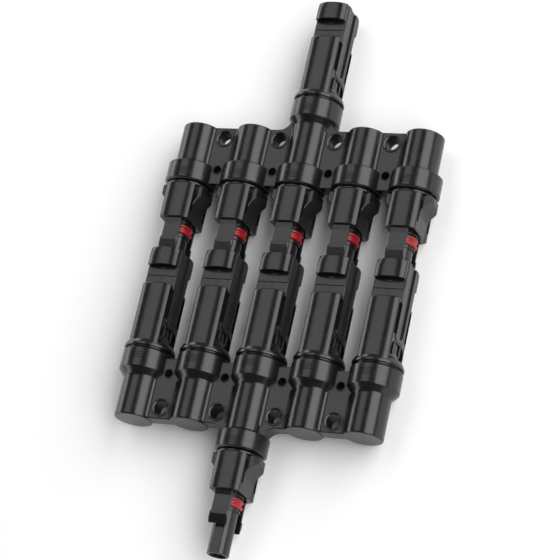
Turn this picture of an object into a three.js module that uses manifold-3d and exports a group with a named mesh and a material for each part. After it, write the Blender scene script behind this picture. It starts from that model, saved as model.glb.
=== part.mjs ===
// Five-way solar branch connector pair, lying flat and partly mated.
// Row frame, millimetres: +X along the row of ports, +Y along the mating
// direction (the plug branch lies at +Y), +Z up. The port axes lie in the
// plane z = AXIS_Z, and the collars and rings stand on z = 0.
import * as THREE from 'three';
import { mergeVertices } from 'three/addons/utils/BufferGeometryUtils.js';
import Module from 'manifold-3d';

const wasm = await Module();
wasm.setup();

// ---------------------------------------------------------------- dimensions
const PITCH = 23.8;            // port spacing along X
const PORTS = 5;
const COLLAR_R = 10.0;         // collars and shell rings, 20 mm across
const AXIS_Z = COLLAR_R;       // height of every port axis
const CENTRE_Y = 2.1;          // middle of the whole length, taken off every y
const SEG = 16;                // facets on a full circle
const IN_SEG = 12;             // facets on the contacts and the bores that hold them

// branch bodies, |y| in the layout frame
const WEB_T = 6.2;
const WEB_IN = 37.0;
const WEB_OUT = 61.7;
const BARREL_R = 7.6;
const BARREL_END = 62.0;
const BIG_HOLE_R = 2.75;
const BIG_HOLE_Y = 57.07;
const SMALL_HOLE_R = 1.65;
const SMALL_HOLE_Y = 43.25;
const SPIGOT_R = 6.0;          // root of each port housing
const SOCKET_R = 6.3;          // bore in a collar that takes the spigot
const WIRE_BORE_R = 2.9;       // bore from a collar to the busbar slot

// busbar, |y| in the layout frame
const BUS_IN = 47.2;
const BUS_OUT = 52.2;
const BUS_T = 1.8;
const BUS_HALF = 2 * PITCH + 3.5;
const GAP = 0.3;

// plug (probe and latch fingers), local: mouth at y = 0, pointing to -Y
const PLUG_BARREL_L = 16.2;
const PLUG_FLANGE_R = 9.1;
const PROBE_R = 4.2;
const PROBE_FLAT = 3.85;
const PROBE_L = 23.5;
const PROBE_BORE_R = 3.2;
const SHOULDER_R = 5.0;
const SHOULDER_L = 0.7;
const CAVITY_R = 5.5;
const CAVITY_D = 4.3;
const CONTACT_BORE_D = 9.0;
const LOBE_X = 9.8;            // side lobes, next to the collar
const LOBE_HALF = 5.3;
const SEAL_FROM = 0.95;
const SEAL_TO = 5.7;
const SEAL_R = 5.3;
const CONTACT_R = 3.0;
const CONTACT_IN = 2.45;
const CONTACT_FRONT = 22.0;
const PIN_R = 2.0;

// latch finger, held in by the strap it passes under
const FINGER_HALF = 3.5;
const HOOK_HALF = 3.8;
const FINGER_IN = 6.05;
const FINGER_TOP = 6.8;
const HOOK_TOP = 7.5;
const HOOK_TIP_TOP = 6.5;
const HOOK_FROM = 8.2;
const FINGER_L = 12.8;
const FINGER_ROOT = 3.9;
const FINGER_ROOT_TOP = 7.5;
const FINGER_POCKET_TOP = 7.9;

// crown of the moulded halves, from the middle to the edge, [x, z]
const HALF_W = 6.2;
const CROWN = [[0, 8.85], [2.8, 8.68], [5.1, 8.1], [HALF_W, 7.3]];
const CROWN_FRONT = [[0, 8.85], [2.6, 8.55], [4.8, 7.6], [HALF_W, 5.7]];
const SLOT_LOW = 5.3;          // narrow slots beside the side walls
const SLOT_HIGH = 6.9;
const SLOT_X = 4.9;

// shell (straps, windows and bore), local: face at y = 0, pointing to +Y
const STRAP_L = 7.4;
const WINDOW_END = 15.0;
const STRAP_IN = 7.65;
const PASSAGE_FLOOR = 5.9;
const PASSAGE_HALF = 4.15;
const WINDOW_FLOOR = 5.3;
const RAIL_X = 6.5;            // side rails and the channel between them
const CHANNEL_X = 5.85;
const CHANNEL_HALF = 2.4;
const RAIL_END = 30.6;
const POCKET_FROM = 31.3;
const POCKET_HALF = 6.7;
const CORE_R = 5.7;
const RING_FROM = 39.0;
const RING_FULL = 40.4;
const RING_TO = 41.9;
const SHELL_BORE_R = 4.5;
const SHELL_BORE_D = 26.2;
const SEAL_BORE_R = 5.42;
const SEAL_BORE_D = 5.9;
const PIN_TIP = 8.0;

// placements, layout frame
const PLUG_MOUTH_Y = 20.3;
const SHELL_FACE_Y = 7.2;
const OUT_SHELL_FACE_Y = 116.0;
const OUT_PLUG_MOUTH_Y = -88.3;

// ------------------------------------------------------------------- helpers
function solid(geometry) {
  const g = geometry.clone();
  g.deleteAttribute('normal');
  g.deleteAttribute('uv');
  const m = mergeVertices(g, 1e-4);
  const pos = m.getAttribute('position').array;
  const idx = Array.from(m.getIndex().array);
  const tri = [];
  let volume = 0;
  for (let i = 0; i < idx.length; i += 3) {
    const [a, b, c] = [idx[i], idx[i + 1], idx[i + 2]];
    if (a === b || b === c || a === c) continue;
    tri.push(a, b, c);
    const p = (k) => new THREE.Vector3(pos[3 * k], pos[3 * k + 1], pos[3 * k + 2]);
    volume += p(a).dot(p(b).cross(p(c)));
  }
  if (volume < 0) for (let i = 0; i < tri.length; i += 3) [tri[i + 1], tri[i + 2]] = [tri[i + 2], tri[i + 1]];
  return new wasm.Manifold(new wasm.Mesh({
    numProp: 3,
    vertProperties: Float32Array.from(pos),
    triVerts: Uint32Array.from(tri),
  }));
}

function geometryOf(manifold) {
  const mesh = manifold.getMesh();
  const out = new THREE.BufferGeometry();
  const n = mesh.numProp;
  const pos = new Float32Array((mesh.vertProperties.length / n) * 3);
  for (let i = 0; i < pos.length / 3; i += 1) {
    for (let k = 0; k < 3; k += 1) pos[3 * i + k] = mesh.vertProperties[n * i + k];
  }
  out.setAttribute('position', new THREE.BufferAttribute(pos, 3));
  out.setIndex(Array.from(mesh.triVerts));
  out.computeVertexNormals();
  return out;
}

const join = (...list) => list.reduce((a, b) => a.add(b));
const cut = (base, ...tools) => tools.reduce((a, b) => a.subtract(b), base);

// round bar along Y from y0 to y1
function bar(r, y0, y1, x = 0, seg = SEG) {
  const g = new THREE.CylinderGeometry(r, r, y1 - y0, seg);
  g.translate(x, (y0 + y1) / 2, 0);
  return solid(g);
}

// cone along Y: radius r0 at y0, r1 at y1
function cone(r0, r1, y0, y1, x = 0) {
  const g = new THREE.CylinderGeometry(r1, r0, y1 - y0, SEG);
  g.translate(x, (y0 + y1) / 2, 0);
  return solid(g);
}

// turned piece around Y, from [radius, y] pairs that start and end on the axis or close up
function turned(pairs, seg = SEG) {
  return solid(new THREE.LatheGeometry(pairs.map(([r, y]) => new THREE.Vector2(r, y)), seg));
}

function block(x0, x1, y0, y1, z0, z1) {
  const g = new THREE.BoxGeometry(x1 - x0, y1 - y0, z1 - z0);
  g.translate((x0 + x1) / 2, (y0 + y1) / 2, (z0 + z1) / 2);
  return solid(g);
}

// outline in X and Y, extruded along Z
function plate(points, z0, z1, holes = []) {
  const s = new THREE.Shape(points.map(([x, y]) => new THREE.Vector2(x, y)));
  for (const [x, y, r] of holes) {
    const p = new THREE.Path();
    p.absarc(x, y, r, 0, Math.PI * 2, true);
    s.holes.push(p);
  }
  const g = new THREE.ExtrudeGeometry(s, { depth: z1 - z0, bevelEnabled: false, curveSegments: 5 });
  g.translate(0, 0, z0);
  return solid(g);
}

// outline in X and Z, extruded along Y from y0 to y1
function section(points, y0, y1) {
  const s = new THREE.Shape(points.map(([x, z]) => new THREE.Vector2(x, z)));
  const g = new THREE.ExtrudeGeometry(s, { depth: y1 - y0, bevelEnabled: false });
  g.rotateX(Math.PI / 2);
  g.translate(0, y1, 0);
  return solid(g);
}

// outline in Y and Z, extruded along X over +-half
function sideProfile(points, half) {
  const s = new THREE.Shape(points.map(([y, z]) => new THREE.Vector2(y, z)));
  const g = new THREE.ExtrudeGeometry(s, { depth: 2 * half, bevelEnabled: false });
  g.applyMatrix4(new THREE.Matrix4().set(
    0, 0, 1, -half,
    1, 0, 0, 0,
    0, 1, 0, 0,
    0, 0, 0, 1));
  return solid(g);
}

// outline of both halves together, from one crown
function halves(crown) {
  const top = [...crown.slice().reverse(), ...crown.slice(1).map(([x, z]) => [-x, z])];
  return [...top, ...top.map(([x, z]) => [-x, -z])];
}

// closed skin through outlines in X and Z with the same number of points, given as [y, outline]
function loft(sections) {
  const n = sections[0][1].length;
  const pos = [];
  for (const [y, points] of sections) for (const [x, z] of points) pos.push(x, y, z);
  const idx = [];
  for (let k = 0; k + 1 < sections.length; k += 1) {
    for (let i = 0; i < n; i += 1) {
      const [a, b, c, d] = [k * n + i, k * n + ((i + 1) % n), (k + 1) * n + i, (k + 1) * n + ((i + 1) % n)];
      idx.push(a, b, d, a, d, c);
    }
  }
  const cap = (points) => THREE.ShapeUtils.triangulateShape(points.map(([x, z]) => new THREE.Vector2(x, z)), []);
  const last = (sections.length - 1) * n;
  for (const [a, b, c] of cap(sections[0][1])) idx.push(b, a, c);
  for (const [a, b, c] of cap(sections[sections.length - 1][1])) idx.push(last + a, last + b, last + c);
  const g = new THREE.BufferGeometry();
  g.setAttribute('position', new THREE.BufferAttribute(new Float32Array(pos), 3));
  g.setIndex(idx);
  return solid(g);
}

const portX = (i) => (i - (PORTS - 1) / 2) * PITCH;

// ----------------------------------------------------------------- materials
const look = (color, roughness, metalness) => new THREE.MeshStandardMaterial({ color, roughness, metalness });
const BLACK = look(0x1b1b1c, 0.48, 0);
const RED = look(0xb3202a, 0.5, 0);
const TIN = look(0xc9c8c2, 0.28, 1);
const SPRING = look(0xc8a565, 0.3, 1);
const COPPER = look(0xb5693f, 0.35, 1);

const root = new THREE.Group();
function put(name, geometry, material, x, y, turn = 0) {
  const mesh = new THREE.Mesh(geometry, material);
  mesh.name = name;
  mesh.position.set(x, y - CENTRE_Y, AXIS_Z);
  mesh.rotation.z = turn;
  root.add(mesh);
}

// ------------------------------------------------------------- branch bodies
// Unit frame: ports at the small-y side, outlet at the large-y side.
function branchBody({ collar, collarCone, outCollar, outCone }) {
  const outEnd = outCollar[1];
  const flare = [];
  for (let k = 0; k <= 4; k += 1) {
    const t = (k / 4) * (Math.PI / 2);
    flare.push([8.4 + 5.0 * (1 - Math.sin(t)), WEB_OUT + 5.0 * (1 - Math.cos(t))]);
  }
  const edge = 2 * PITCH;
  const outline = [[-edge, WEB_IN], [edge, WEB_IN], [edge, WEB_OUT], ...flare,
    ...flare.slice().reverse().map(([x, y]) => [-x, y]), [-edge, WEB_OUT]];
  const holes = [];
  for (const m of [-1.5, -0.5, 0.5, 1.5]) {
    holes.push([m * PITCH, BIG_HOLE_Y, BIG_HOLE_R], [m * PITCH, SMALL_HOLE_Y, SMALL_HOLE_R]);
  }
  let body = plate(outline, -WEB_T / 2, WEB_T / 2, holes);
  for (let i = 0; i < PORTS; i += 1) {
    const x = portX(i);
    const middle = i === (PORTS - 1) / 2;
    body = join(body,
      bar(BARREL_R, collar[1] - 0.5, middle ? outCollar[0] + 0.5 : BARREL_END - 0.8, x),
      bar(COLLAR_R, collar[0], collar[1], x));
    if (!middle) body = join(body, cone(BARREL_R, BARREL_R - 0.8, BARREL_END - 0.8, BARREL_END, x));
    if (collarCone) body = join(body, cone(COLLAR_R, BARREL_R, collar[1], collar[1] + collarCone, x));
  }
  body = join(body, bar(COLLAR_R, outCollar[0], outEnd));
  if (outCone) body = join(body, cone(BARREL_R, COLLAR_R, outCollar[0] - outCone, outCollar[0]));
  for (let i = 0; i < PORTS; i += 1) {
    const x = portX(i);
    body = cut(body, bar(SOCKET_R, collar[0] - 1, collar[0] + 8.0, x, IN_SEG), bar(WIRE_BORE_R, collar[0], BUS_IN, x, IN_SEG));
  }
  body = cut(body,
    bar(SOCKET_R, outEnd - 8.0, outEnd + 1, 0, IN_SEG),
    bar(WIRE_BORE_R, BUS_OUT, outEnd, 0, IN_SEG),
    block(-BUS_HALF - 0.4, BUS_HALF + 0.4, BUS_IN - GAP, BUS_OUT + GAP, -BUS_T / 2 - GAP, BUS_T / 2 + GAP));
  return geometryOf(body);
}

function busbar() {
  const r = (BUS_OUT - BUS_IN) / 2;
  const yc = (BUS_OUT + BUS_IN) / 2;
  const pts = [];
  for (const [cx, a0] of [[BUS_HALF - r, -Math.PI / 2], [-BUS_HALF + r, Math.PI / 2]]) {
    for (let k = 0; k <= 6; k += 1) {
      const a = a0 + (k / 6) * Math.PI;
      pts.push([cx + r * Math.cos(a), yc + r * Math.sin(a)]);
    }
  }
  return geometryOf(plate(pts, -BUS_T / 2, BUS_T / 2));
}

// ------------------------------------------------------------ plug, its pieces
function plugHousing() {
  // side lobes: proud beside the collar, then running in to the side walls
  const lobe = [[5.0, 0], [HALF_W, 0], [HALF_W, 7.0], [7.4, 9.6], [9.4, 12.0], [LOBE_X, 13.4], [LOBE_X, 15.2], [9.4, 15.9], [5.0, 15.9]];
  const right = plate(lobe, -LOBE_HALF, LOBE_HALF).intersect(bar(COLLAR_R + 0.1, -1, 17, 0, 24));
  const left = right.mirror([1, 0, 0]);
  let h = join(section(halves(CROWN), 0, PLUG_BARREL_L - 0.25), right, left,
    bar(PLUG_FLANGE_R, 15.0, PLUG_BARREL_L - 0.25), bar(SPIGOT_R, 12, PLUG_BARREL_L + 7.7, 0, IN_SEG));
  // narrow slots either side of each lobe
  for (const sx of [-1, 1]) {
    for (const sz of [-1, 1]) {
      h = cut(h, block(sx > 0 ? SLOT_X : -12, sx > 0 ? 12 : -SLOT_X, 3.4, 12.6, sz > 0 ? SLOT_LOW : -SLOT_HIGH, sz > 0 ? SLOT_HIGH : -SLOT_LOW));
    }
  }
  // hollow round the probe, and the pockets that the fingers come out of
  h = cut(h, bar(CAVITY_R, -2, CAVITY_D, 0, IN_SEG),
    block(-3.85, 3.85, -1, CAVITY_D, 5.1, FINGER_POCKET_TOP), block(-3.85, 3.85, -1, CAVITY_D, -FINGER_POCKET_TOP, -5.1));
  let probe = bar(PROBE_R, -PROBE_L, CAVITY_D + 0.5);
  probe = cut(probe, block(-5, 5, -PROBE_L - 1, -SHOULDER_L - 0.1, PROBE_FLAT, 6), block(-5, 5, -PROBE_L - 1, -SHOULDER_L - 0.1, -6, -PROBE_FLAT));
  h = join(h, probe, bar(SHOULDER_R, -SHOULDER_L, CAVITY_D + 0.5, 0, IN_SEG));
  h = cut(h, bar(PROBE_BORE_R, -PROBE_L - 1, CONTACT_BORE_D, 0, IN_SEG), bar(WIRE_BORE_R, CONTACT_BORE_D - 1, PLUG_BARREL_L + 9, 0, IN_SEG));
  return geometryOf(h);
}

function seal() {
  const r0 = PROBE_R + 0.2;
  const a = -SEAL_FROM;
  const b = -SEAL_TO;
  return geometryOf(turned([
    [r0, b], [5.0, b], [SEAL_R, b + 0.9], [4.9, (a + b) / 2],
    [SEAL_R, a - 0.9], [5.0, a], [r0, a], [r0, b],
  ], IN_SEG));
}

function socketContact(rear) {
  const f = -CONTACT_FRONT;
  return geometryOf(turned([
    [0, -3.0], [CONTACT_IN, -3.0], [CONTACT_IN, f], [CONTACT_R, f], [CONTACT_R, 7.6],
    [2.5, 8.0], [2.5, rear], [0, rear],
  ], IN_SEG));
}

function contactSpring() {
  const f = -CONTACT_FRONT;
  return geometryOf(turned([
    [2.15, f + 3], [2.35, f + 3], [2.35, f + 8], [2.15, f + 8], [2.15, f + 3],
  ], IN_SEG));
}

// finger profile in distance from the mouth and height, hook at the free end
function finger(top) {
  const beam = sideProfile([
    [FINGER_ROOT, FINGER_IN], [FINGER_ROOT, FINGER_ROOT_TOP], [1.2, FINGER_ROOT_TOP], [-1.8, FINGER_TOP],
    [-HOOK_FROM - 0.5, FINGER_TOP], [-HOOK_FROM - 0.5, FINGER_IN],
  ], FINGER_HALF);
  const hook = sideProfile([
    [-HOOK_FROM, FINGER_IN], [-HOOK_FROM, HOOK_TOP], [-HOOK_FROM - 0.9, HOOK_TOP],
    [-FINGER_L, HOOK_TIP_TOP], [-FINGER_L, FINGER_IN],
  ], HOOK_HALF);
  const edges = section([[HOOK_HALF + 0.1, 5], [HOOK_HALF + 0.1, HOOK_TOP - 0.66], [HOOK_HALF - 0.5, HOOK_TOP + 0.01],
    [0.5 - HOOK_HALF, HOOK_TOP + 0.01], [-HOOK_HALF - 0.1, HOOK_TOP - 0.66], [-HOOK_HALF - 0.1, 5]], -20, 10);
  const f = join(beam, hook.intersect(edges));
  return geometryOf(top ? f : f.mirror([0, 0, 1]));
}

// ----------------------------------------------------------- shell, its pieces
function shellHousing() {
  let h = join(
    loft([[0, halves(CROWN_FRONT)], [-2.6, halves(CROWN)], [-STRAP_L, halves(CROWN)]]),
    block(-HALF_W, HALF_W, -WINDOW_END - 0.5, -STRAP_L + 0.5, -WINDOW_FLOOR, WINDOW_FLOOR),
    section(halves(CROWN), -RING_FROM - 0.5, -WINDOW_END));
  // side rails, the channel between them, and the narrow slots
  for (const s of [-1, 1]) {
    const bx = (x0, x1, y0, y1, z0, z1) => (s > 0 ? block(x0, x1, y0, y1, z0, z1) : block(-x1, -x0, y0, y1, z0, z1));
    h = join(h, bx(5.95, RAIL_X, -RAIL_END, 0, CHANNEL_HALF, SLOT_LOW - 0.1), bx(5.95, RAIL_X, -RAIL_END, 0, 0.1 - SLOT_LOW, -CHANNEL_HALF));
    h = cut(h,
      bx(CHANNEL_X, 12, -29.4, 1, -CHANNEL_HALF, CHANNEL_HALF),
      bx(SLOT_X, 12, -29.2, -16.5, SLOT_LOW, SLOT_HIGH), bx(SLOT_X, 12, -29.2, -16.5, -SLOT_HIGH, -SLOT_LOW));
    // pocket behind the rails, open down to the core
    h = cut(h, bx(3, 12, -RING_FROM - 0.6, -POCKET_FROM, -POCKET_HALF, POCKET_HALF)
      .subtract(bar(CORE_R, -RING_FROM - 1, -POCKET_FROM + 1, 0, 24)));
    // heel flared out to the ring
    h = join(h, cone(9.5, CORE_R - 0.2, -RING_FROM - 0.8, -35.4).intersect(bx(3, 12, -RING_FROM - 1, -35, -5.8, 5.8)));
  }
  h = join(h, turned([[0, -RING_TO], [COLLAR_R, -RING_TO], [COLLAR_R, -RING_FULL], [9.1, -RING_FROM], [0, -RING_FROM]]),
    bar(SPIGOT_R, -49.7, -RING_FROM, 0, IN_SEG));
  const passage = (lo, mid, hi) => section([[PASSAGE_HALF, lo], [PASSAGE_HALF, mid], [PASSAGE_HALF - 0.55, hi],
    [0.55 - PASSAGE_HALF, hi], [-PASSAGE_HALF, mid], [-PASSAGE_HALF, lo]], -STRAP_L - 0.2, 1);
  h = cut(h,
    bar(SHELL_BORE_R, -SHELL_BORE_D, 1), bar(SEAL_BORE_R, -SEAL_BORE_D, 1), bar(WIRE_BORE_R, -51, -SHELL_BORE_D + 1, 0, IN_SEG),
    passage(PASSAGE_FLOOR, STRAP_IN - 0.5, STRAP_IN), passage(-PASSAGE_FLOOR, 0.5 - STRAP_IN, -STRAP_IN));
  return geometryOf(h);
}

function pin(rear) {
  return geometryOf(turned([
    [0, -rear], [2.6, -rear], [2.6, -27.6], [PIN_R, -27.0], [PIN_R, -PIN_TIP - 1.4], [PIN_R * 0.6, -PIN_TIP - 0.2], [0, -PIN_TIP],
  ], IN_SEG));
}

// ------------------------------------------------------------------ assembly
const plugGeometry = plugHousing();
const sealGeometry = seal();
const springGeometry = contactSpring();
const fingerTop = finger(true);
const fingerBottom = finger(false);
const shellGeometry = shellHousing();

function plug(name, x, mouthY, rear) {
  put(`${name}_housing`, plugGeometry, BLACK, x, mouthY);
  put(`${name}_seal`, sealGeometry, RED, x, mouthY);
  put(`${name}_socket_contact`, socketContact(rear), TIN, x, mouthY);
  put(`${name}_contact_spring`, springGeometry, SPRING, x, mouthY);
  put(`${name}_finger_top`, fingerTop, BLACK, x, mouthY);
  put(`${name}_finger_bottom`, fingerBottom, BLACK, x, mouthY);
}

function shell(name, x, faceY, rear) {
  put(`${name}_housing`, shellGeometry, BLACK, x, faceY);
  put(`${name}_pin_contact`, pin(rear), TIN, x, faceY);
}

// plug branch: five plugs towards -Y, one shell outlet towards +Y
put('plug_branch_body', branchBody({ collar: [36.5, 44.8], collarCone: 0, outCollar: [65.8, 73.8], outCone: 2.8 }), BLACK, 0, 0);
put('plug_branch_busbar', busbar(), COPPER, 0, 0);
for (let i = 0; i < PORTS; i += 1) plug(`plug_${i + 1}`, portX(i), PLUG_MOUTH_Y, BUS_IN - GAP - PLUG_MOUTH_Y);
shell('plug_branch_outlet', 0, OUT_SHELL_FACE_Y, OUT_SHELL_FACE_Y - BUS_OUT - GAP);

// shell branch: five shells towards +Y, one plug outlet towards -Y
put('shell_branch_body', branchBody({ collar: [35.0, 43.0], collarCone: 2.8, outCollar: [64.8, 72.1], outCone: 0 }), BLACK, 0, 0, Math.PI);
put('shell_branch_busbar', busbar(), COPPER, 0, 0, Math.PI);
for (let i = 0; i < PORTS; i += 1) shell(`shell_${i + 1}`, portX(i), SHELL_FACE_Y, SHELL_FACE_Y + BUS_IN - GAP);
plug('shell_branch_outlet', 0, OUT_PLUG_MOUTH_Y, -BUS_OUT - GAP - OUT_PLUG_MOUTH_Y);

export default root;
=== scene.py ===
import math

import bmesh
import bpy
from mathutils import Matrix, Vector


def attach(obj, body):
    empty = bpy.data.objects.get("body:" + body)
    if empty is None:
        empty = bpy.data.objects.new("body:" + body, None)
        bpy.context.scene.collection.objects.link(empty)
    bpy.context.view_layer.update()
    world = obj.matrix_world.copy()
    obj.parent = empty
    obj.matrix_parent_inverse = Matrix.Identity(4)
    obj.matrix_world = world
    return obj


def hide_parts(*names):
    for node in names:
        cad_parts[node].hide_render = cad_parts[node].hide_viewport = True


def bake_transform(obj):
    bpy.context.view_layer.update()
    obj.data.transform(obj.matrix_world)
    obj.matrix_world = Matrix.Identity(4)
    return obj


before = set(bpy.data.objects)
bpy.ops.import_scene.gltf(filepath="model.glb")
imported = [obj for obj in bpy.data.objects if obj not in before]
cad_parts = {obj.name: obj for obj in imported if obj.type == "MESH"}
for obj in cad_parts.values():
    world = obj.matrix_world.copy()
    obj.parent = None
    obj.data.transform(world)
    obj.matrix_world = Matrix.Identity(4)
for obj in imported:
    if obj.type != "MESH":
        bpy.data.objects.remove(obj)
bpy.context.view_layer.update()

# ------------------------------------------------------------------ layout (mm)
P = 23.8
XS = [(i - 2) * P for i in range(5)]
CY = 2.1
AZ = 10.0
PLUG_Y = 20.3 - CY
SHELL_Y = 7.2 - CY
OUT_SHELL_Y = 116.0 - CY
OUT_PLUG_Y = -88.3 - CY


# ------------------------------------------------------------------ 2D outlines
def rounded(points, radii, n=4, closed=True):
    """The outline with each corner rounded by its radius."""
    out, N = [], len(points)
    for i, p in enumerate(points):
        r = radii[i] if isinstance(radii, (list, tuple)) else radii
        if (not closed and i in (0, N - 1)) or r <= 0:
            out.append((p[0], p[1]))
            continue
        a, b, c = Vector(points[i - 1]), Vector(p), Vector(points[(i + 1) % N])
        u, v = a - b, c - b
        lu, lv = u.length, v.length
        u, v = u / lu, v / lv
        ang = math.acos(max(-1.0, min(1.0, u.dot(v))))
        if ang > math.pi - 0.05:
            out.append((p[0], p[1]))
            continue
        t = min(r / math.tan(ang / 2), 0.49 * lu, 0.49 * lv)
        r2 = t * math.tan(ang / 2)
        m = b + (u + v).normalized() * (r2 / math.sin(ang / 2))
        s, e = b + u * t, b + v * t
        a0, a1 = math.atan2(s.y - m.y, s.x - m.x), math.atan2(e.y - m.y, e.x - m.x)
        d = (a1 - a0 + math.pi) % (2 * math.pi) - math.pi
        for k in range(n + 1):
            w = a0 + d * k / n
            out.append((m.x + r2 * math.cos(w), m.y + r2 * math.sin(w)))
    return out


def area2(pts):
    return sum(pts[i - 1][0] * p[1] - p[0] * pts[i - 1][1] for i, p in enumerate(pts))


def inset(pts, d):
    """Each point moved d towards its left, with mitred corners."""
    out, N = [], len(pts)
    for i in range(N):
        a, b, c = Vector(pts[i - 1]), Vector(pts[i]), Vector(pts[(i + 1) % N])
        e0, e1 = (b - a).normalized(), (c - b).normalized()
        n0, n1 = Vector((-e0.y, e0.x)), Vector((-e1.y, e1.x))
        m = n0 + n1
        if m.length < 1e-6:
            m = n0.copy()
        m.normalize()
        k = d / max(0.35, m.dot(n0))
        out.append((b.x + m.x * k, b.y + m.y * k))
    return out


def fine(pts, step):
    """The closed outline with its long edges split."""
    out = []
    for i in range(len(pts)):
        a, b = Vector(pts[i]), Vector(pts[(i + 1) % len(pts)])
        n = max(1, int(math.ceil((b - a).length / step)))
        out += [tuple(a.lerp(b, k / n)) for k in range(n)]
    return out


def circle(cx, cy, r, n=40):
    return [(cx + r * math.cos(2 * math.pi * k / n), cy + r * math.sin(2 * math.pi * k / n)) for k in range(n)]


# ---------------------------------------------------------------- solids (mm)
def link(bm, name):
    bmesh.ops.remove_doubles(bm, verts=bm.verts, dist=1e-5)
    bmesh.ops.triangulate(bm, faces=[f for f in bm.faces if len(f.verts) > 4])
    bmesh.ops.recalc_face_normals(bm, faces=bm.faces)
    if bm.calc_volume(signed=True) < 0:
        bmesh.ops.reverse_faces(bm, faces=bm.faces)
    me = bpy.data.meshes.new(name)
    bm.to_mesh(me)
    bm.free()
    o = bpy.data.objects.new(name, me)
    bpy.context.scene.collection.objects.link(o)
    return o


def prism(outline, h0, h1, b=0.3, holes=(), axis="Z", nb=3, name="s"):
    """Closed extrusion with rounded rims. Axis Z: outline in X and Y; Y: in X and Z; X: in Y and Z."""
    place = {"Z": lambda u, v, h: (u, v, h), "Y": lambda u, v, h: (u, h, v), "X": lambda u, v, h: (h, u, v)}[axis]
    loops = [outline if area2(outline) > 0 else outline[::-1]]
    loops += [h if area2(h) < 0 else h[::-1] for h in holes]
    bm = bmesh.new()
    caps = {0: [], 1: []}
    for pts in loops:
        rings = []
        steps = []
        for k in range(nb + 1):
            t = (k / nb) * math.pi / 2
            steps.append((b * (1 - math.sin(t)), h0 + b * (1 - math.cos(t))))
        steps += [(i, h0 + h1 - h) for i, h in reversed(steps)]
        if b <= 0:
            steps = [(0, h0), (0, h1)]
        for d, h in steps:
            q = inset(pts, d) if d > 1e-9 else pts
            rings.append([bm.verts.new(place(u, v, h)) for u, v in q])
        n = len(pts)
        for r0, r1 in zip(rings, rings[1:]):
            for i in range(n):
                bm.faces.new((r0[i], r0[(i + 1) % n], r1[(i + 1) % n], r1[i]))
        caps[0].append(rings[0])
        caps[1].append(rings[-1])
    for rings in caps.values():
        if len(rings) == 1:
            bm.faces.new(rings[0])
        else:
            edges = []
            for r in rings:
                edges += [bm.edges.get((r[i], r[(i + 1) % len(r)])) for i in range(len(r))]
            bmesh.ops.triangle_fill(bm, edges=edges, use_beauty=True)
    return link(bm, name)


def turn(profile, seg=64, closed=False, name="t", x=0.0):
    """Solid of revolution round Y from (radius, y) points. Closed for a tube; otherwise it starts and ends on the axis."""
    bm = bmesh.new()
    rings = []
    for r, y in profile:
        if r < 1e-6:
            rings.append([bm.verts.new((x, y, 0))])
        else:
            rings.append([bm.verts.new((x + r * math.sin(2 * math.pi * k / seg), y, r * math.cos(2 * math.pi * k / seg))) for k in range(seg)])
    pairs = list(zip(rings, rings[1:])) + ([(rings[-1], rings[0])] if closed else [])
    for a, b in pairs:
        for k in range(seg):
            j = (k + 1) % seg
            if len(a) == 1 and len(b) == 1:
                continue
            if len(a) == 1:
                bm.faces.new((a[0], b[j], b[k]))
            elif len(b) == 1:
                bm.faces.new((a[k], a[j], b[0]))
            else:
                bm.faces.new((a[k], a[j], b[j], b[k]))
    return link(bm, name)


def arc_bar(r0, r1, y0, y1, a0, a1, n=8, name="bar"):
    """A short raised bar that lies on a barrel: radius r0 to r1, over angles a0 to a1 from the top, in degrees."""
    bm = bmesh.new()
    rings = []
    for k in range(n + 1):
        a = math.radians(a0 + (a1 - a0) * k / n)
        c = 0.08
        sec = [(r0, y0), (r1 - c, y0), (r1, y0 + c), (r1, y1 - c), (r1 - c, y1), (r0, y1)]
        rings.append([bm.verts.new((r * math.sin(a), y, r * math.cos(a))) for r, y in sec])
    m = 6
    for a, b in zip(rings, rings[1:]):
        for k in range(m):
            bm.faces.new((a[k], a[(k + 1) % m], b[(k + 1) % m], b[k]))
    bm.faces.new(rings[0])
    bm.faces.new(rings[-1][::-1])
    return link(bm, name)


def box(x0, x1, y0, y1, z0, z1, r=0.2, name="b"):
    pts = rounded([(x0, y0), (x1, y0), (x1, y1), (x0, y1)], r, 3)
    return prism(pts, z0, z1, min(r, (z1 - z0) * 0.45) * 0.999, name=name)


def skin(sections, name="k"):
    """Closed solid through outlines in X and Z with the same number of points, as (y, outline) pairs."""
    bm = bmesh.new()
    rings = [[bm.verts.new((u, y, v)) for u, v in pts] for y, pts in sections]
    for a, b in zip(rings, rings[1:]):
        n = len(a)
        for i in range(n):
            bm.faces.new((a[i], a[(i + 1) % n], b[(i + 1) % n], b[i]))
    bm.faces.new(rings[0])
    bm.faces.new(rings[-1])
    return link(bm, name)


def rim(y, pts, b, into, n=4):
    """Sections that round an end over b; into is the direction of the material along Y."""
    out = []
    for k in range(n + 1):
        t = (k / n) * math.pi / 2
        d = b * (1 - math.sin(t))
        out.append((y + into * b * (1 - math.cos(t)), inset(pts, d) if d > 1e-9 else pts))
    return out


HALF_W = 6.2


def halves(height, corner=1.1):
    """Both moulded halves in one outline: the crown's height over x, above and below, with round shoulders."""
    xs = [HALF_W, 4.75, 4.2, 3.6, 3.0, 2.4, 1.8, 1.2, 0.6, 0.0]
    xs += [-x for x in xs[-2::-1]]
    top = [(x, height(abs(x))) for x in xs]
    pts = top + [(-x, -z) for x, z in top]
    r = [corner] + [0] * (len(top) - 2) + [corner]
    return rounded(pts, r + r, 6)


def crown(x):
    return 8.85 - 1.55 * (x / HALF_W) ** 2.8


def crown_front(x):
    return 0.45 * math.sqrt(8.85 ** 2 - x * x) + 0.55 * crown(x)


def drop(o):
    me = o.data
    bpy.data.objects.remove(o)
    if me.users == 0:
        bpy.data.meshes.remove(me)


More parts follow.
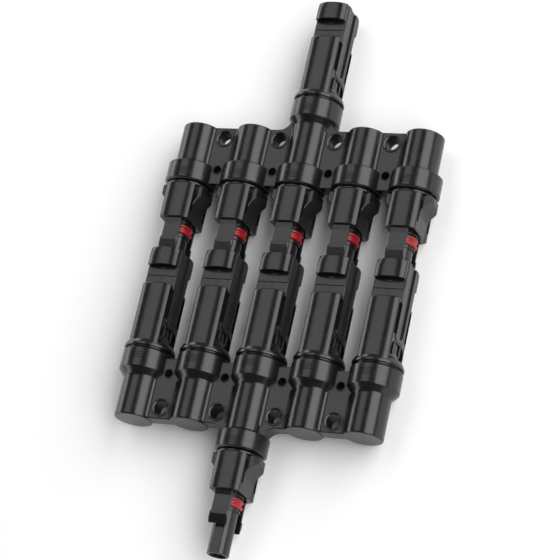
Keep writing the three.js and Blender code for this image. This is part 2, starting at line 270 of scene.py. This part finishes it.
def combine(base, tools, op):
    for t in tools:
        m = base.modifiers.new("b", "BOOLEAN")
        m.object, m.operation, m.solver = t, op, "MANIFOLD"
        dg = bpy.context.evaluated_depsgraph_get()
        me = bpy.data.meshes.new_from_object(base.evaluated_get(dg))
        if len(me.polygons) == 0 or (op == "UNION" and len(me.polygons) < 4):
            m.solver = "EXACT"
            dg = bpy.context.evaluated_depsgraph_get()
            me = bpy.data.meshes.new_from_object(base.evaluated_get(dg))
        base.modifiers.clear()
        old = base.data
        base.data = me
        bpy.data.meshes.remove(old)
        drop(t)
    return base


def join(base, *tools):
    return combine(base, tools, "UNION")


def cut(base, *tools):
    return combine(base, tools, "DIFFERENCE")


def keep(base, *tools):
    return combine(base, tools, "INTERSECT")


def mirrored(o, axis, name="m"):
    me = o.data.copy()
    s = [1, 1, 1]
    s["XYZ".index(axis)] = -1
    me.transform(Matrix.Diagonal((*s, 1)))
    me.flip_normals()
    n = bpy.data.objects.new(name, me)
    bpy.context.scene.collection.objects.link(n)
    return n


def finished(o, name, angle=33):
    """Scales to metres, sets smooth shading with crisp edges, and leaves a plain mesh."""
    me = o.data
    me.transform(Matrix.Scale(0.001, 4))
    bm = bmesh.new()
    bm.from_mesh(me)
    bmesh.ops.remove_doubles(bm, verts=bm.verts, dist=4e-7)
    bmesh.ops.dissolve_degenerate(bm, edges=bm.edges, dist=2e-7)
    bm.to_mesh(me)
    bm.free()
    me.shade_smooth()
    me.set_sharp_from_angle(angle=math.radians(angle))
    m = o.modifiers.new("n", "WEIGHTED_NORMAL")
    m.mode, m.keep_sharp, m.weight = "FACE_AREA", True, 60
    dg = bpy.context.evaluated_depsgraph_get()
    new = bpy.data.meshes.new_from_object(o.evaluated_get(dg))
    new.name = name
    o.modifiers.clear()
    drop(o)
    return new


# ------------------------------------------------------------------ materials
def nodes_of(name):
    m = bpy.data.materials.new(name)
    m.use_nodes = True
    t = m.node_tree
    return m, t, t.nodes["Principled BSDF"]


def noise(t, co, scale, detail=2.0, rough=0.5):
    n = t.nodes.new("ShaderNodeTexNoise")
    n.inputs["Scale"].default_value = scale
    n.inputs["Detail"].default_value = detail
    n.inputs["Roughness"].default_value = rough
    t.links.new(co, n.inputs["Vector"])
    return n.outputs["Fac"]


def spread(t, fac, low, high, a=0.3, b=0.7):
    r = t.nodes.new("ShaderNodeMapRange")
    r.inputs["From Min"].default_value = a
    r.inputs["From Max"].default_value = b
    r.inputs["To Min"].default_value = low
    r.inputs["To Max"].default_value = high
    t.links.new(fac, r.inputs["Value"])
    return r.outputs["Result"]


def tint(t, fac, c0, c1, a=0.35, b=0.65):
    r = t.nodes.new("ShaderNodeValToRGB")
    r.color_ramp.elements[0].position, r.color_ramp.elements[1].position = a, b
    r.color_ramp.elements[0].color, r.color_ramp.elements[1].color = (*c0, 1), (*c1, 1)
    t.links.new(fac, r.inputs["Fac"])
    return r.outputs["Color"]


def surface(name, c0, c1, rough, grain, grain_scale, metallic=0.0, specular=0.5, bump_mm=0.02, patch=70.0, stretch=None, coat=0.0):
    m, t, p = nodes_of(name)
    tc = t.nodes.new("ShaderNodeTexCoord")
    co = tc.outputs["Object"]
    if stretch:
        mp = t.nodes.new("ShaderNodeMapping")
        mp.inputs["Scale"].default_value = stretch
        t.links.new(co, mp.inputs["Vector"])
        co = mp.outputs["Vector"]
    t.links.new(tint(t, noise(t, co, patch, 3.0), c0, c1), p.inputs["Base Color"])
    t.links.new(spread(t, noise(t, co, 620.0, 3.0), *rough), p.inputs["Roughness"])
    b = t.nodes.new("ShaderNodeBump")
    b.inputs["Strength"].default_value = grain
    b.inputs["Distance"].default_value = bump_mm * 0.001
    t.links.new(noise(t, co, grain_scale, 2.0, 0.6), b.inputs["Height"])
    t.links.new(b.outputs["Normal"], p.inputs["Normal"])
    p.inputs["Metallic"].default_value = metallic
    p.inputs["Specular IOR Level"].default_value = specular
    p.inputs["Coat Weight"].default_value = coat
    return m


BLACK = surface("moulded_black", (0.0055, 0.0056, 0.0060), (0.0080, 0.0081, 0.0086), (0.19, 0.27), 0.28, 5200.0, bump_mm=0.008)
RED = surface("seal_silicone", (0.20, 0.004, 0.009), (0.28, 0.008, 0.015), (0.28, 0.38), 0.3, 3800.0, bump_mm=0.01)
RED.node_tree.nodes["Principled BSDF"].inputs["Subsurface Weight"].default_value = 0.06
RED.node_tree.nodes["Principled BSDF"].inputs["Subsurface Scale"].default_value = 0.001
TIN = surface("tin_plate", (0.68, 0.67, 0.64), (0.80, 0.79, 0.76), (0.18, 0.32), 0.3, 2600.0, metallic=1.0, stretch=(1, 0.12, 1))
SPRING = surface("spring_strip", (0.60, 0.42, 0.22), (0.70, 0.52, 0.30), (0.22, 0.34), 0.3, 2600.0, metallic=1.0)
COPPER = surface("busbar_copper", (0.58, 0.27, 0.16), (0.68, 0.36, 0.24), (0.25, 0.40), 0.4, 1500.0, metallic=1.0, stretch=(0.15, 1, 1))


# ------------------------------------------------------------- plug housing
def make_plug_housing():
    """Local frame: mouth at y = 0, probe towards -Y."""
    body = halves(crown)
    h = skin(rim(0.0, body, 0.4, 1) + rim(14.9, body, 0.3, -1)[::-1])
    # flange and neck next to the collar
    h = join(h, turn(rounded([(0, 13.0), (7.4, 13.0), (7.4, 14.75), (9.15, 14.75), (9.15, 15.5), (7.6, 15.5), (7.6, 15.95), (0, 15.95)],
                             [0, 0.1, 0.1, 0.22, 0.22, 0.15, 0.1, 0], 4), 72, False),
             turn(rounded([(0, 15.0), (6.0, 15.0), (6.0, 23.4), (5.6, 23.9), (0, 23.9)], [0, 0, 0.2, 0.2, 0], 3), 64, False))
    # side walls set in a little, then the lobes that rise out of them to the flange
    for s in (-1, 1):
        x0, x1 = (5.95, 12.0) if s > 0 else (-12.0, -5.95)
        h = cut(h, box(x0, x1, -2.0, 9.0, -5.3, 5.3, 0.25))
    lobe = [(4.5, 0.3), (5.98, 0.3), (5.98, 6.4), (6.9, 8.9), (8.9, 11.1), (9.75, 12.6), (9.75, 14.3), (9.1, 14.9), (4.5, 14.9)]
    lobe = rounded(lobe, [0, 0.25, 3.2, 4.0, 2.4, 1.2, 0.7, 0.3, 0], 7)
    right = keep(prism(lobe, -5.25, 5.25, 0.55, nb=4), turn([(0, -2.0), (10.0, -2.0), (10.0, 18.0), (0, 18.0)], 96, False))
    left = mirrored(right, "X")
    h = join(h, right, left)
    # narrow slots either side of each lobe
    tools = []
    for sx in (-1, 1):
        for sz in (-1, 1):
            x0, x1 = (4.9, 12.0) if sx > 0 else (-12.0, -4.9)
            z0, z1 = (5.28, 6.75) if sz > 0 else (-6.75, -5.28)
            tools.append(box(x0, x1, 3.4, 12.6, z0, z1, 0.3))
    h = cut(h, *tools)
    # hollow round the probe, and the pockets that the fingers come out of
    tools = [turn(rounded([(0, -2.0), (5.8, -2.0), (5.5, 0.3), (5.5, 4.3), (0, 4.3)], [0, 0, 0.2, 0.3, 0], 3), 64, False)]
    for z0, z1 in ((5.1, 7.9), (-7.9, -5.1)):
        slot = rounded([(-3.85, z0), (3.85, z0), (3.85, z1), (-3.85, z1)], 0.3, 3)
        tools.append(prism(slot, -1.0, 4.3, 0, axis="Y"))
    h = cut(h, *tools)
    # probe with flats, and a shoulder behind the seal
    probe = turn(rounded([(3.2, 4.8), (3.2, -23.5), (4.2, -23.5), (4.2, 4.8)], [0, 0.25, 0.35, 0], 4), 64, True)
    flat = prism(rounded([(-5.2, -3.88), (5.2, -3.88), (5.2, 3.88), (-5.2, 3.88)], 0.15, 3), -24.5, 12.0, 0, axis="Y")
    probe = keep(probe, flat)
    back = turn(rounded([(3.4, 4.8), (3.4, -0.75), (5.05, -0.75), (5.05, 4.8)], [0, 0, 0.3, 0], 3), 64, True)
    ring = turn(rounded([(3.6, -5.85), (4.75, -5.85), (4.75, -6.5), (3.6, -6.5)], [0, 0.2, 0.2, 0], 3), 64, True)
    h = join(h, back, probe, ring)
    h = cut(h, turn([(0, -24.0), (3.2, -24.0), (3.2, 9.0), (2.9, 9.3), (2.9, 25.0), (0, 25.0)], 64, False))
    return finished(h, "plug_housing")


def make_seal():
    """Two round lips on a sleeve that grips the probe."""
    prof = [(4.15, -1.3), (4.7, -1.3), (5.3, -1.85), (5.3, -2.35), (4.6, -2.9), (4.6, -3.5), (5.3, -4.05), (5.3, -4.55), (4.75, -5.1), (4.15, -5.1)]
    prof = rounded(prof, [0.1, 0.3, 0.3, 0.3, 0.35, 0.35, 0.3, 0.3, 0.3, 0.1], 5)
    return finished(turn(prof, 72, True), "seal", 60)


def make_finger(side):
    """Finger in place: profile in Y and Z, split finely so that it can flex."""
    beam = [(4.25, 6.1), (4.25, 7.5), (1.2, 7.5), (-1.8, 6.8), (-8.6, 6.8), (-8.6, 6.1)]
    beam = fine(rounded(beam, [0, 0, 0.8, 0.9, 0, 0], 5), 0.8)
    f = prism(beam, -3.5, 3.5, 0.22, axis="X")
    hook = [(-8.2, 6.05), (-8.2, 7.5), (-9.3, 7.5), (-12.8, 6.5), (-12.8, 6.05)]
    hook = rounded(hook, [0, 0.2, 0.6, 0.28, 0.12], 4)
    edges = rounded([(3.85, 5.0), (3.85, 6.95), (3.3, 7.52), (-3.3, 7.52), (-3.85, 6.95), (-3.85, 5.0)], [0, 0.3, 0.4, 0.4, 0.3, 0], 4)
    f = join(f, keep(prism(hook, -3.8, 3.8, 0.2, axis="X"), prism(edges, -20.0, 10.0, 0, axis="Y")))
    if side < 0:
        m = mirrored(f, "Z")
        drop(f)
        f = m
    return finished(f, "finger")


def tube_mesh(profile, name, closed, seg=48):
    return finished(turn(profile, seg, closed), name, 40)


def make_socket(rear):
    prof = [(0, -3.0), (2.45, -3.0), (2.45, -21.7), (2.72, -22.0), (3.0, -21.9), (3.0, 7.6), (2.5, 8.0), (2.5, rear), (0, rear)]
    return tube_mesh(prof, "socket", False)


def make_spring():
    """Louvred band: a thin sleeve with shallow waists between its ends."""
    prof = [(2.36, -19.0), (2.36, -18.6), (2.24, -17.8), (2.18, -16.5), (2.24, -15.2), (2.36, -14.4), (2.36, -14.0),
            (2.28, -14.0), (2.28, -14.4), (2.16, -15.2), (2.10, -16.5), (2.16, -17.8), (2.28, -18.6), (2.28, -19.0)]
    return tube_mesh(prof, "spring", True)


def make_pin(rear):
    prof = rounded([(0, -8.0), (1.25, -8.0), (2.0, -9.6), (2.0, -27.1), (2.6, -27.5), (2.6, -rear), (0, -rear)], [0, 0.7, 0.8, 0.2, 0.2, 0.2, 0], 5, False)
    return tube_mesh(prof, "pin", False)


# ------------------------------------------------------------- shell housing
def make_shell_housing():
    """Local frame: face at y = 0 towards +Y, everything behind it at -Y."""
    full, front = halves(crown), halves(crown_front)
    mid = [((a[0] + b[0]) / 2, a[1] * 0.4 + b[1] * 0.6) for a, b in zip(front, full)]
    h = skin(rim(0.0, front, 0.4, -1) + [(-1.3, mid), (-2.7, full)] + rim(-7.4, full, 0.22, 1)[::-1])
    floor = prism(rounded([(-6.2, -5.3), (6.2, -5.3), (6.2, 5.3), (-6.2, 5.3)], 0.35, 4), -17.0, -5.0, 0, axis="Y")
    barrel = skin(rim(-15.0, full, 0.75, -1, 5) + [(-40.2, full)])
    # root, ring and spigot
    ring = turn(rounded([(0, -49.7), (5.6, -49.7), (6.0, -49.2), (6.0, -41.9), (8.9, -41.9), (8.9, -41.45), (10.0, -41.45), (10.0, -40.5), (9.2, -38.9), (0, -38.9)],
                        [0, 0.2, 0.2, 0, 0.1, 0.15, 0.25, 0.5, 0.5, 0], 4), 72, False)
    h = join(h, floor, barrel)
    tools = []
    for s in (-1, 1):
        # pocket behind the rails, arched at the front, open down to the core
        x0, x1 = (3.0, 12.0) if s > 0 else (-12.0, -3.0)
        pocket = rounded([(-39.6, -6.7), (-31.3, -6.7), (-31.3, 6.7), (-39.6, 6.7)], [0.3, 3.2, 3.2, 0.3], 8)
        tools.append(cut(prism(pocket, x0, x1, 0.0, axis="X"), turn([(0, -45.0), (5.7, -45.0), (5.7, -20.0), (0, -20.0)], 72, False)))
    h = cut(h, *tools)
    # side rails with rounded ends and the channel between them
    for s in (-1, 1):
        rail = rounded([(-30.9, -5.2), (0.0, -5.2), (0.0, 5.2), (-30.9, 5.2)], [2.6, 0.25, 0.25, 2.6], 7)
        chan = rounded([(-29.4, -2.43), (2.1, -2.43), (2.1, 2.43), (-29.4, 2.43)], [2.3, 0, 0, 2.3], 8)
        a, b = (5.6, 6.5) if s > 0 else (-6.5, -5.6)
        h = join(h, prism(rail, a, b, 0.28, axis="X", nb=3))
        a, b = (5.85, 9.0) if s > 0 else (-9.0, -5.85)
        h = cut(h, prism(chan, a, b, 0.0, axis="X"))
        x0, x1 = (4.3, 12.0) if s > 0 else (-12.0, -4.3)
        for z0, z1 in ((4.35, 6.9), (-6.9, -4.35)):
            h = cut(h, box(x0, x1, -29.05, -16.62, z0, z1, 0.33))
    # heel at each side, flared out to the ring
    heel = rounded([(0, -40.2), (9.6, -40.2), (9.1, -38.8), (7.2, -37.4), (6.0, -35.2), (4.9, -34.3), (0, -34.3)], [0, 0.2, 0.8, 2.5, 1.2, 0.3, 0], 6)
    for x0, x1 in ((3.0, 12.0), (-12.0, -3.0)):
        h = join(h, keep(turn(heel, 96, False), box(x0, x1, -41.0, -33.9, -5.56, 5.56, 0)))
        # upright ribs in the pocket
        for z in (-3.3, 3.3):
            a, b = (3.5, 6.07) if x0 > 0 else (-6.07, -3.5)
            h = join(h, box(a, b, -35.85, -30.6, z - 0.53, z + 0.53, 0.3))
    h = join(h, ring)
    # bores and the passages under the straps
    tools = [turn(rounded([(0, 1.0), (6.0, 1.0), (5.5, 0.0), (5.42, -0.4), (5.42, -5.7), (4.5, -6.3), (4.5, -26.0), (4.2, -26.3), (2.9, -26.3), (2.9, -50.5), (0, -50.5)],
                          [0, 0, 0.1, 0.1, 0.1, 0.1, 0.1, 0.1, 0, 0, 0], 3, False), 64, False)]
    for q in (1, -1):
        slot = rounded([(-4.15, 5.88 * q), (4.15, 5.88 * q), (4.15, 7.15 * q), (3.6, 7.65 * q), (-3.6, 7.65 * q), (-4.15, 7.15 * q)], [0.2, 0.2, 0.3, 0.3, 0.3, 0.3], 3)
        tools.append(prism(slot, -8.2, 1.0, 0, axis="Y"))
    h = cut(h, *tools)
    # parting line across each window floor, and the small step at the strap
    for s in (-1, 1):
        lo, hi = (5.2, 5.42) if s > 0 else (-5.42, -5.2)
        h = join(h, box(-0.14, 0.14, -15.7, -7.1, lo, hi, 0))
        lo, hi = (5.0, 5.62) if s > 0 else (-5.62, -5.0)
        h = join(h, box(-6.1, 6.1, -11.2, -7.0, lo, hi, 0.18))
        lo, hi = (5.2, 5.75) if s > 0 else (-5.75, -5.2)
        h = join(h, box(-1.1, 1.1, -8.3, -7.2, lo, hi, 0.15))
    return finished(h, "shell_housing")


# --------------------------------------------------------------- branch body
def make_body(collar, collar_cone, out, out_cone, bars):
    """Ports at the small-y side, outlet at the large-y side, axes at z = 0."""
    e = 2 * P
    flare = []
    for k in range(13):
        t = (k / 12) * math.pi / 2
        flare.append((8.2 + 5.4 * (1 - math.sin(t)), 61.7 + 5.4 * (1 - math.cos(t))))
    outline = [(-e, 37.0), (e, 37.0), (e, 61.7)] + flare + [(-x, y) for x, y in reversed(flare)] + [(-e, 61.7)]
    holes = []
    for m in (-1.5, -0.5, 0.5, 1.5):
        holes += [circle(m * P, 57.07, 2.75, 40), circle(m * P, 43.25, 1.65, 28)]
    body = prism(outline, -3.1, 3.1, 0.42, holes=holes, nb=4)
    for m in (-1.5, -0.5, 0.5, 1.5):
        for sz in (-1, 1):
            big = turn(rounded([(2.75, 2.8), (3.75, 2.8), (3.75, 3.55), (3.3, 3.55), (2.75, 3.2)], [0, 0, 0.2, 0.15, 0.1], 3), 56, True)
            small = turn(rounded([(1.65, 2.8), (2.15, 2.8), (2.15, 3.3), (1.65, 3.3)], [0, 0, 0.12, 0.12], 3), 40, True)
            for o, y in ((big, 57.07), (small, 43.25)):
                o.data.transform(Matrix.Translation((m * P, y, 0)) @ Matrix.Rotation(math.pi / 2 * sz, 4, "X"))
                body = join(body, o)
    c0, c1 = collar
    o0, o1 = out
    for i, x in enumerate(XS):
        mid = i == 2
        # barrel, collar and their cone, turned in one piece
        prof, rad = [(0, c0 + 8.0), (6.3, c0 + 8.0), (6.3, c0 + 0.25), (6.55, c0), (9.2, c0), (10.0, c0 + 0.55)], [0, 0, 0, 0.1, 0.3, 0.5]
        if collar_cone:
            prof += [(10.0, c1), (7.6, c1 + collar_cone)]
            rad += [0.8, 1.8]
        else:
            prof += [(10.0, c1 - 0.3), (9.6, c1), (7.0, c1), (7.0, c1 + 0.7), (7.6, c1 + 0.9)]
            rad += [0.3, 0.3, 0.15, 0.2, 0.25]
        if mid:
            if out_cone:
                prof += [(7.6, o0 - out_cone), (10.0, o0)]
                rad += [1.8, 0.8]
            else:
                prof += [(7.6, o0 - 0.9), (7.0, o0 - 0.7), (7.0, o0), (9.6, o0), (10.0, o0 + 0.3)]
                rad += [0.25, 0.2, 0.15, 0.3, 0.3]
            prof += [(10.0, o1 - 0.55), (9.2, o1), (6.55, o1), (6.3, o1 - 0.25), (6.3, o1 - 8.0), (0, o1 - 8.0)]
            rad += [0.5, 0.3, 0.1, 0, 0, 0]
        else:
            prof += [(7.6, 62.0), (0, 62.0)]
            rad += [0.7, 0]
        b = turn(rounded(prof, rad, 5, False), 72, False, x=x)
        body = join(body, b)
    # concave fillets where the web meets each barrel
    for i, x in enumerate(XS):
        y0, y1 = c1 + (collar_cone or 0.0) + 0.2, 61.1
        for sx in (-1, 1):
            if (i == 0 and sx < 0) or (i == 4 and sx > 0):
                continue
            for sz in (-1, 1):
                r, R, t = 1.9, 7.6, 3.1
                cz = t + r
                cx = math.sqrt((R + r) ** 2 - cz * cz)
                a_b = math.atan2(-cz, -cx)
                pts = []
                for k in range(7):
                    a = a_b + ((-math.pi / 2) - a_b) * k / 6
                    pts.append((cx + r * math.cos(a), cz + r * math.sin(a)))
                pts = [(cx - 2.6, t - 0.8)] + pts + [(cx, t - 0.8)]
                pts = [(x + sx * u, sz * v) for u, v in pts]
                body = join(body, prism(pts, y0, y1, 0, axis="Y"))
    # generic raised bars on the collars, above the axis
    for x, y, r in bars:
        for k in range(3):
            a = arc_bar(r - 0.3, r + 0.26, y + 1.05 * k, y + 1.05 * k + 0.45, -19, 12)
            a.data.transform(Matrix.Translation((x, 0, 0)))
            body = join(body, a)
    return body


# ------------------------------------------------------------------- assembly
def place(mesh, name, node, body, x, y, mat, mesh_copy=False):
    me = mesh.copy() if mesh_copy else mesh
    o = bpy.data.objects.new(name, me)
    bpy.context.scene.collection.objects.link(o)
    if mesh_copy:
        me.transform(Matrix.Translation((x * 0.001, y * 0.001, AZ * 0.001)))
    else:
        o.location = (x * 0.001, y * 0.001, AZ * 0.001)
    if not me.materials:
        me.materials.append(mat)
    else:
        me.materials[0] = mat
    bpy.context.view_layer.update()
    if body:
        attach(o, body)
    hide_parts(node)
    return o


plug_mesh = make_plug_housing()
shell_mesh = make_shell_housing()
seal_mesh = make_seal()
spring_mesh = make_spring()
finger_mesh = {"top": make_finger(1), "bottom": make_finger(-1)}
socket_in = make_socket(47.2 - 0.3 - 20.3)
socket_out = make_socket(-52.5 + 88.3)
pin_in = make_pin(7.2 + 46.9)
pin_out = make_pin(116.0 - 52.5)


def plug(prefix, unit, x, y, socket):
    for kind, mesh, mat in (("housing", plug_mesh, BLACK), ("seal", seal_mesh, RED), ("socket_contact", socket, TIN), ("contact_spring", spring_mesh, SPRING)):
        o = place(mesh, f"v_{prefix}_{kind}", f"{prefix}_{kind}", unit, x, y, mat)
    for side, s in (("top", 1), ("bottom", -1)):
        o = place(finger_mesh[side], f"v_{prefix}_finger_{side}", f"{prefix}_finger_{side}", None, x, y, BLACK, True)
        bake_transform(o)


def shell(prefix, unit, x, y, pin):
    o = place(shell_mesh, f"v_{prefix}_housing", f"{prefix}_housing", unit, x, y, BLACK)
    o = place(pin, f"v_{prefix}_pin_contact", f"{prefix}_pin_contact", unit, x, y, TIN)


b = make_body((36.5, 44.8), 0, (65.8, 73.8), 2.8, [(0, 67.6, 10.0)] + [(x, 38.6, 10.0) for x in XS])
up = finished(b, "plug_branch_body")
up.transform(Matrix.Translation((0, -CY * 0.001, 0)))
o = place(up, "v_plug_branch_body", "plug_branch_body", "plug_branch", 0, 0, BLACK)
b = make_body((35.0, 43.0), 2.8, (64.8, 72.1), 0, [])
b.data.transform(Matrix.Rotation(math.pi, 4, "Z"))
for x, y in [(0, -70.4)] + [(x, -39.6) for x in XS]:
    for k in range(3):
        a = arc_bar(9.7, 10.26, y + 1.05 * k, y + 1.05 * k + 0.45, -19, 12)
        a.data.transform(Matrix.Translation((x, 0, 0)))
        b = join(b, a)
low = finished(b, "shell_branch_body")
low.transform(Matrix.Translation((0, -CY * 0.001, 0)))
o = place(low, "v_shell_branch_body", "shell_branch_body", "shell_branch", 0, 0, BLACK)

for i, x in enumerate(XS):
    plug(f"plug_{i + 1}", "plug_branch", x, PLUG_Y, socket_in)
    shell(f"shell_{i + 1}", "shell_branch", x, SHELL_Y, pin_in)
shell("plug_branch_outlet", "plug_branch", 0, OUT_SHELL_Y, pin_out)
plug("shell_branch_outlet", "shell_branch", 0, OUT_PLUG_Y, socket_out)

for n in ("plug_branch_busbar", "shell_branch_busbar"):
    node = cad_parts[n]
    if node.data.materials:
        for s in node.material_slots:
            s.material = COPPER
    else:
        node.data.materials.append(COPPER)

# ----------------------------------------------------------------- the studio
fm, ft, fp = nodes_of("floor_pale")
fp.inputs["Base Color"].default_value = (0.90, 0.90, 0.90, 1)
fp.inputs["Roughness"].default_value = 0.75
bpy.ops.mesh.primitive_plane_add(size=8.0, location=(0, 0, 0))
floor = bpy.context.object
floor.name = "floor"
floor.data.materials.append(fm)

world = bpy.data.worlds.new("studio")
world.use_nodes = True
wt = world.node_tree
bg = wt.nodes["Background"]
wc = wt.nodes.new("ShaderNodeTexCoord")
ws = wt.nodes.new("ShaderNodeSeparateXYZ")
wr = wt.nodes.new("ShaderNodeMapRange")
wr.interpolation_type = "SMOOTHSTEP"
wr.inputs["From Min"].default_value, wr.inputs["From Max"].default_value = 0.03, 0.20
wr.inputs["To Min"].default_value, wr.inputs["To Max"].default_value = 0.95, 0.07
wt.links.new(wc.outputs["Generated"], ws.inputs["Vector"])
wt.links.new(ws.outputs["Z"], wr.inputs["Value"])
wt.links.new(wr.outputs["Result"], bg.inputs["Strength"])
bg.inputs["Color"].default_value = (1.0, 1.0, 1.0, 1)
bpy.context.scene.world = world


def panel(name, angle, half, radiance, length=3.0, y=0.45, reach=1.3):
    """A long soft box beside the row, centred at an angle from straight up towards +X and spanning +-half degrees."""
    a, w = math.radians(angle), 2 * reach * math.tan(math.radians(half))
    d = bpy.data.lights.new(name, "AREA")
    d.shape, d.size, d.size_y, d.energy = "RECTANGLE", w, length, radiance * 4.0 * w * length
    o = bpy.data.objects.new(name, d)
    at = Vector((reach * math.sin(a), y, reach * math.cos(a)))
    o.matrix_world = Matrix.Translation(at) @ Matrix.Rotation(a, 4, "Y")
    o.visible_camera = False
    bpy.context.scene.collection.objects.link(o)
    return o


panel("panel_top", -21, 17, 1.15, 2.1, 0.92)
panel("panel_right", 47, 23, 2.8, 3.4)
panel("panel_left", -76, 9, 2.2, 3.4)

cam = bpy.data.cameras.new("camera")
cam.lens, cam.sensor_width, cam.clip_start, cam.clip_end = 162.03, 36.0, 0.01, 50.0
co = bpy.data.objects.new("camera", cam)
bpy.context.scene.collection.objects.link(co)
right = Vector((0.91073793, 0.20577007, -0.35807135))
down = Vector((0.05090965, -0.91635795, -0.39710994))
fwd = Vector((-0.40983487, 0.34343380, -0.84503763))
m = Matrix.Identity(4)
for r in range(3):
    m[r][0], m[r][1], m[r][2] = right[r], -down[r], -fwd[r]
m[0][3], m[1][3], m[2][3] = 0.396406, (-332.802 - CY) * 0.001, 0.8269
co.matrix_world = m
bpy.context.scene.camera = co
bpy.context.scene.view_settings.view_transform = "Standard"
